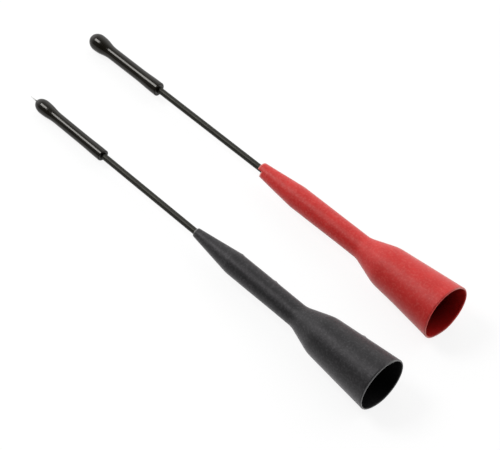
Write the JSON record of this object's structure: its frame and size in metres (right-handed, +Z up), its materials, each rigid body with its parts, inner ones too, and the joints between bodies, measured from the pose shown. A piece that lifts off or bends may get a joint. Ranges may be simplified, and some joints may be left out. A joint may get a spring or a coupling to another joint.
{
  "type": "test probe tip adapter pair",
  "caption": "Slip-on extended needle-point adapters for test probes, black and red: flared rubber boot, long insulated needle, dipped vinyl tip cap.",
  "frame": {"origin": "centre of the pair's bounding box, at the table it lies on", "axes": "+X along both adapters, out of their mouths; +Y from the black adapter to the red; +Z up"},
  "size_m": [0.1154, 0.0358, 0.013],
  "materials": {
    "black_boot": "matt moulded elastomer, faintly dusty",
    "red_boot": "matt moulded elastomer, faintly dusty",
    "socket_brass": "turned, bare",
    "spring_steel": "spring temper",
    "needle_steel": "ground",
    "sleeve": "matt extruded",
    "cap_vinyl": "glossy dip-moulded vinyl"
  },
  "bodies": {
    "black_adapter": {"black_boot": "black_boot", "black_probe_socket": "socket_brass", "black_spring_ring": "spring_steel", "black_needle": "needle_steel", "black_sleeve": "sleeve"},
    "black_cap": {"black_tip_cap": "cap_vinyl"},
    "red_adapter": {"red_boot": "red_boot", "red_probe_socket": "socket_brass", "red_spring_ring": "spring_steel", "red_needle": "needle_steel", "red_sleeve": "sleeve"},
    "red_cap": {"red_tip_cap": "cap_vinyl"}
  },
  "joints": [
    {"name": "black_cap_pull", "type": "slide", "parent": "black_adapter", "child": "black_cap", "axis": [-0.999, 0.0051, -0.0444], "range_m": [0, 0.028]},
    {"name": "red_cap_pull", "type": "slide", "parent": "red_adapter", "child": "red_cap", "axis": [-0.9992, -0.0051, -0.0402], "range_m": [0, 0.028]},
    {"name": "red_adapter_lift", "type": "slide", "parent": "black_adapter", "child": "red_adapter", "axis": [0, 0, 1], "range_m": [0, 0.06]}
  ]
}
